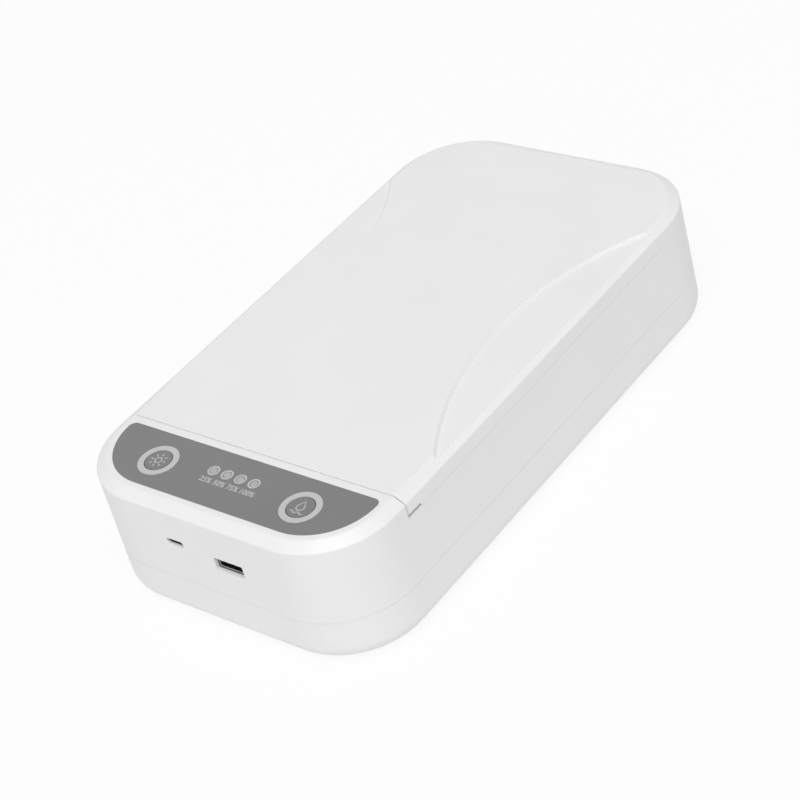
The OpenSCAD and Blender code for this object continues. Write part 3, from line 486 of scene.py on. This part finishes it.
def ribbon(lines, width, low, high):
    """A mesh of flat printed lines between two heights; each line is (points, closed)."""
    shape = bmesh.new()
    for points, closed in lines:
        edges = stroke(points, width, closed)
        rows = [[shape.verts.new((x, y, z)) for x, y in edge] for edge in edges for z in (high, low)]
        upper_l, lower_l, upper_r, lower_r = rows
        for i in range(len(upper_l) - 1):
            shape.faces.new((upper_l[i], upper_r[i], upper_r[i + 1], upper_l[i + 1]))
            shape.faces.new((lower_l[i], lower_l[i + 1], lower_r[i + 1], lower_r[i]))
            shape.faces.new((upper_l[i], upper_l[i + 1], lower_l[i + 1], lower_l[i]))
            shape.faces.new((upper_r[i], lower_r[i], lower_r[i + 1], upper_r[i + 1]))
        if not closed:
            shape.faces.new((upper_l[0], lower_l[0], lower_r[0], upper_r[0]))
            shape.faces.new((upper_l[-1], upper_r[-1], lower_r[-1], lower_l[-1]))
    return closed_mesh(shape)


def lamp_mark(centre):
    """A small ring with eight rays, for the key that starts the lamps."""
    ring_radius, ray_start, ray_end = 1.25 * MM, 2.05 * MM, 3.25 * MM
    rays = 8
    ring = arc_points(centre.x, centre.y, ring_radius, 0, 360, 32)[:-1]
    lines = [(ring, True)]
    for i in range(rays):
        turn = 2 * pi * i / rays
        ray = [(centre.x + r * cos(turn), centre.y + r * sin(turn)) for r in (ray_start, ray_end)]
        lines.append((ray, False))
    return lines


def drop_mark(centre):
    """A drop over a short wave, for the key that warms the aroma pad."""
    radius, tip, lean = 1.45 * MM, 2.95 * MM, 27
    drop_y = centre.y - 0.1 * MM
    drop = arc_points(centre.x, drop_y, radius, 180 - lean, 360 + lean, 24) + [(centre.x, drop_y + tip)]
    wave_y = centre.y - 2.6 * MM
    reach, crest, steps = 2.6 * MM, 0.35 * MM, 26
    shares = [2 * i / steps - 1 for i in range(steps + 1)]
    wave = [(centre.x + reach * share, wave_y + crest * sin(2 * pi * share)) for share in shares]
    return [(drop, True), (wave, False)]


def key_marks():
    """The printed mark in the middle of each key."""
    for node, mark in (("left_key", lamp_mark), ("right_key", drop_mark)):
        top = top_of(node)
        mesh = ribbon(mark(middle(node)), MARK_STROKE, top - PRINT_DEPTH, top + PRINT_DEPTH)
        keep(node + "_mark", mesh, "panel_print", node + "_body")


# Level figures and indicator lenses

LABEL_FOOT_Y = -96.15 * MM
LABEL_FIRST_X = -11.1 * MM
LABEL_PITCH = 5.97 * MM
LABEL_HEIGHT = 2.35 * MM
LABEL_WIDTHS = (4.95 * MM, 4.95 * MM, 4.85 * MM, 5.85 * MM)
LABEL_STEP = 25
LENS_BASE = 0.04 * MM
# Width of the ring of darker pipe top left round each dome, a painted shade
LENS_SHADE_RING = 0.28 * MM


def printed(words, x, y, z, width, height):
    """The mesh of a word whose lower left corner and size are given."""
    text = bpy.data.curves.new("label", "FONT")
    text.body = words
    text.extrude = PRINT_DEPTH
    text.offset = 0.02
    text.resolution_u = 4
    mesh = plain_mesh(put("label", text))
    xs = [vertex.co.x for vertex in mesh.vertices]
    ys = [vertex.co.y for vertex in mesh.vertices]
    size = Matrix.Diagonal((width / (max(xs) - min(xs)), height / (max(ys) - min(ys)), 1, 1))
    mesh.transform(Matrix.Translation((x, y, z)) @ size @ Matrix.Translation((-min(xs), -min(ys), 0)))
    return mesh


def level_labels():
    """A quarter, half, three quarters and full, in front of the four indicator lamps."""
    deck = top_of("control_panel")
    shape = bmesh.new()
    for i, width in enumerate(LABEL_WIDTHS):
        words = f"{LABEL_STEP * (i + 1)}%"
        x = LABEL_FIRST_X + i * LABEL_PITCH
        shape.from_mesh(printed(words, x, LABEL_FOOT_Y, deck, width, LABEL_HEIGHT))
    keep("level_labels", closed_mesh(shape), "panel_print", "base")


def indicator_lenses():
    """A domed lens on the upper end of each light pipe, in a lighter copy of the lens finish and set in from
    the pipe's edge, so that the lighter dome and the darker ring of pipe round it paint light and shade.
    """
    places, radius = led_places()
    raised = [spot + Vector((0, 0, LENS_BASE / 2)) for spot in places]
    mesh = grown(dome_tree(), raised, "lens_crown_painted_light", Radius=radius - LENS_SHADE_RING, Base=LENS_BASE)
    keep("indicator_lenses", mesh, "lens_crown_painted_light", "base")


# Lamps

TUBE_WALL = 0.3 * MM
TUBE_NECK = 0.75 * MM
TUBE_STEPS = 32
ELECTRODE_INSET = 12.5 * MM
LEAD_SETBACK = 0.2 * MM


def tube_outline(half, radius, neck):
    """One side of a tube's length, drawn in to a neck at both ends by quarter rounds."""
    stem, shoulder, steps = 0.8 * MM, 1.5 * MM, 6
    near = [(neck, -half)]
    for i in range(steps + 1):
        turn = radians(90 * i / steps)
        near.append((neck + (radius - neck) * sin(turn), -half + stem + shoulder * (1 - cos(turn))))
    return near + [(r, -y) for r, y in reversed(near)]


def lamp_tubes():
    """Two open quartz tubes with a wall of their own, in place of the solid lamps."""
    centres, radius, half = lamp_axes()
    outline = tube_outline(half, radius, TUBE_NECK)
    outline += reversed(tube_outline(half, radius - TUBE_WALL, TUBE_NECK - TUBE_WALL))
    shape = bmesh.new()
    for centre in centres:
        rows = []
        for i in range(TUBE_STEPS):
            turn = 2 * pi * i / TUBE_STEPS
            spots = [centre + Vector((r * cos(turn), y, r * sin(turn))) for r, y in outline]
            rows.append([shape.verts.new(spot) for spot in spots])
        for i, row in enumerate(rows):
            after = rows[(i + 1) % TUBE_STEPS]
            for j in range(len(outline)):
                k = (j + 1) % len(outline)
                shape.faces.new((row[j], row[k], after[k], after[j])).smooth = True
    tubes = keep("lamp_tubes", closed_mesh(shape), "quartz_tube", "lid")
    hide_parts("uv_lamps")


def lamp_electrodes():
    """A coil just inside each end of the lit length, its lead running out through the neck."""
    centres, _, half = lamp_axes()
    tree = coil_tree()
    shape = bmesh.new()
    for turn, side in ((0, 1), (pi, -1)):
        places = [Vector((spot.x, side * spot.y - half + ELECTRODE_INSET, spot.z)) for spot in centres]
        end = grown(tree, places, "plated_steel", Lead_Length=ELECTRODE_INSET - LEAD_SETBACK)
        end.transform(Matrix.Rotation(turn, 4, "Z"))
        shape.from_mesh(end)
    keep("lamp_electrodes", closed_mesh(shape), "plated_steel", "lid")


# Ports

SOCKET_SHELL = 0.3 * MM
USB_HEIGHT, USB_CORNER = 5.1 * MM, 0.5 * MM
MICRO_WIDTH, MICRO_HEIGHT, MICRO_CORNER = 7.3 * MM, 2.4 * MM, 0.9 * MM
USB_CONTACTS, USB_PITCH, USB_SETBACK = 4, 2.3 * MM, 0.5 * MM
USB_TONGUE_THICKNESS = 1.85 * MM
MICRO_CONTACTS, MICRO_PITCH, MICRO_SETBACK = 5, 0.65 * MM, 0.2 * MM
MICRO_CONTACT_DROP = 0.36 * MM


def round_frame(width, height, corner):
    """A rectangle with rounded corners about the origin, anticlockwise."""
    points = []
    for i, (side, rise) in enumerate(((1, 1), (-1, 1), (-1, -1), (1, -1))):
        x, z = side * (width / 2 - corner), rise * (height / 2 - corner)
        points += arc_points(x, z, corner, 90 * i, 90 * (i + 1), steps=5)
    return points


def lining(name, centre, size, corner, wall, reach, finish):
    """A thin band round a port's mouth, between two places along its depth."""
    width, height = size
    outlines = (round_frame(width, height, corner),
                round_frame(width - 2 * wall, height - 2 * wall, corner - wall))
    shape = bmesh.new()
    rings = [[shape.verts.new((centre.x + x, y, centre.z + z)) for x, z in outline]
             for outline in outlines for y in reach]
    outer_near, outer_far, inner_near, inner_far = rings
    around = (outer_near, outer_far, inner_far, inner_near, outer_near)
    for ring, following in zip(around, around[1:]):
        for i in range(len(ring)):
            j = (i + 1) % len(ring)
            shape.faces.new((ring[i], ring[j], following[j], following[i]))
    keep(name, closed_mesh(shape), finish, "base")


def port_linings():
    """A black lining in the wall before each socket, partly the socket's own sleeve and partly a painted
    shade deep in the opening, and a light lip in the larger one.
    """
    low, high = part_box("usb_socket")
    usb = (middle("usb_tongue"), (high[0] - low[0] - 2 * SOCKET_SHELL, USB_HEIGHT), USB_CORNER)
    micro = (middle("micro_socket"), (MICRO_WIDTH, MICRO_HEIGHT), MICRO_CORNER)
    face = low[1]
    # The black sleeves stand for the sockets' sleeves and also paint the deep shade in each opening
    for name, port, wall, start, end, finish in (
            ("usb_sleeve_and_painted_shade", usb, 0.12 * MM, 0.98 * MM, 0.02 * MM, "black_plastic"),
            ("usb_lip", usb, 0.24 * MM, 0.56 * MM, 0.32 * MM, "white_inner"),
            ("micro_sleeve_and_painted_shade", micro, 0.12 * MM, 1.25 * MM, 0.02 * MM, "black_plastic")):
        lining(name, *port, wall, (face - start, face - end), finish)


def row_of(count, pitch, x, y, z):
    """Places side by side, with x in the middle of the row."""
    return [Vector((x + (i - (count - 1) / 2) * pitch, y, z)) for i in range(count)]


def port_contacts():
    """Rows of contacts on the underside of both tongues."""
    tree = contact_tree()
    low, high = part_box("usb_tongue")
    row = row_of(USB_CONTACTS, USB_PITCH,
                 middle("usb_tongue").x, low[1] + USB_SETBACK, high[2] - USB_TONGUE_THICKNESS)
    large = grown(tree, row, "contact_gold")
    keep("usb_contacts", large, "contact_gold", "base")

    low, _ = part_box("micro_tongue")
    port = middle("micro_socket")
    row = row_of(MICRO_CONTACTS, MICRO_PITCH, port.x, low[1] + MICRO_SETBACK, port.z - MICRO_CONTACT_DROP)
    small = grown(tree, row, "contact_gold",
                  Width=0.36 * MM, Thickness=0.06 * MM, Length=2.6 * MM, Dip=0.08 * MM)
    keep("micro_contacts", small, "contact_gold", "base")


# Studio

AMBIENT = 0.445
KEY_POWER, KEY_FROM = 100.0, (0.323, -0.385, 0.864)
FILL_POWER, FILL_FROM = 5.0, (0.4, -0.85, 0.35)
LAMP_REACH, LAMP_SIZE = 4.0, 2.9
FLOOR_COLOR = (0.86, 0.86, 0.86, 1)
FLOOR_WHITE = 0.9
WHITE_LIGHT = (1, 1, 1, 1)


def lamp(name, direction, power):
    """A round lamp that faces the origin from the given direction."""
    data = bpy.data.lights.new(name, "AREA")
    data.shape = "DISK"
    data.size = LAMP_SIZE
    data.energy = power
    direction = Vector(direction).normalized()
    light = put(name, data)
    light.location = direction * LAMP_REACH
    light.rotation_euler = direction.to_track_quat("Z", "Y").to_euler()


def seen_directly(tree):
    """1 for a ray that shows what it meets, to the eye or in metal or glass, and 0 for one that lights."""
    path = add(tree, "LightPath").outputs
    shown = calc(tree, "MAXIMUM", path["Is Camera Ray"], path["Is Glossy Ray"])
    return calc(tree, "MAXIMUM", shown, path["Is Transmission Ray"])


def surroundings():
    """Even light from all round, which is seen as plain white."""
    world = bpy.data.worlds.new("studio")
    bpy.context.scene.world = world
    world.use_nodes = True
    tree = world.node_tree
    tree.nodes.clear()
    ambient = add(tree, "Background", {"Color": WHITE_LIGHT, "Strength": AMBIENT}).outputs[0]
    white = add(tree, "Background", {"Color": WHITE_LIGHT, "Strength": 1.0}).outputs[0]
    mixed = add(tree, "MixShader", {0: seen_directly(tree), 1: ambient, 2: white}).outputs[0]
    add(tree, "OutputWorld", {"Surface": mixed})


def pale_floor():
    """A floor that looks nearly white, keeps the shadow and is clear from below."""
    mesh = bpy.data.meshes.new("floor")
    # Off-centre, so that the line between its two triangles doesn't pass under the case
    near, far, side = -5.0, 7.0, 6.0
    mesh.from_pydata([(near, -side, 0), (far, -side, 0), (far, side, 0), (near, side, 0)], [], [(0, 1, 2, 3)])
    floor = put("floor", mesh)
    tree, shader = new_finish("floor_white")
    feed(tree, shader, {"Base Color": FLOOR_COLOR, "Roughness": 0.9, "Specular IOR Level": 0.0})
    share = calc(tree, "MULTIPLY", seen_directly(tree), FLOOR_WHITE)
    glow = add(tree, "Emission", {"Color": WHITE_LIGHT, "Strength": 1.0}).outputs[0]
    mixed = add(tree, "MixShader", {0: share, 1: shader.outputs[0], 2: glow}).outputs[0]
    below = add(tree, "NewGeometry").outputs["Backfacing"]
    clear = add(tree, "BsdfTransparent").outputs[0]
    one_sided = add(tree, "MixShader", {0: below, 1: mixed, 2: clear}).outputs[0]
    tree.links.new(one_sided, tree.nodes["Material Output"].inputs["Surface"])
    mesh.materials.append(finishes["floor_white"])


def camera():
    """The photograph's view: azimuth, elevation and roll about the point it looks at."""
    azimuth, elevation, roll = radians(46.283), radians(36.234), radians(-15.926)
    target = Vector((4.876, -13.48, 25.58)) * MM
    distance = 762.3 * MM
    back = Vector((sin(azimuth) * cos(elevation), -cos(azimuth) * cos(elevation), sin(elevation)))
    right = Vector((cos(azimuth), sin(azimuth), 0))
    up = back.cross(right)
    right, up = cos(roll) * right + sin(roll) * up, cos(roll) * up - sin(roll) * right
    data = bpy.data.cameras.new("camera")
    data.sensor_width = 36.0
    data.lens = 97.71
    data.clip_start = 0.01
    view = put("camera", data)
    turned = Matrix((right, up, back)).transposed().to_4x4()
    view.matrix_world = Matrix.Translation(target + distance * back) @ turned
    bpy.context.scene.camera = view


dress_nodes()
key_marks()
level_labels()
indicator_lenses()
lamp_tubes()
lamp_electrodes()
port_linings()
port_contacts()

surroundings()
lamp("key", KEY_FROM, KEY_POWER)
lamp("fill", FILL_FROM, FILL_POWER)
pale_floor()
camera()
bpy.context.scene.view_settings.view_transform = "Standard"
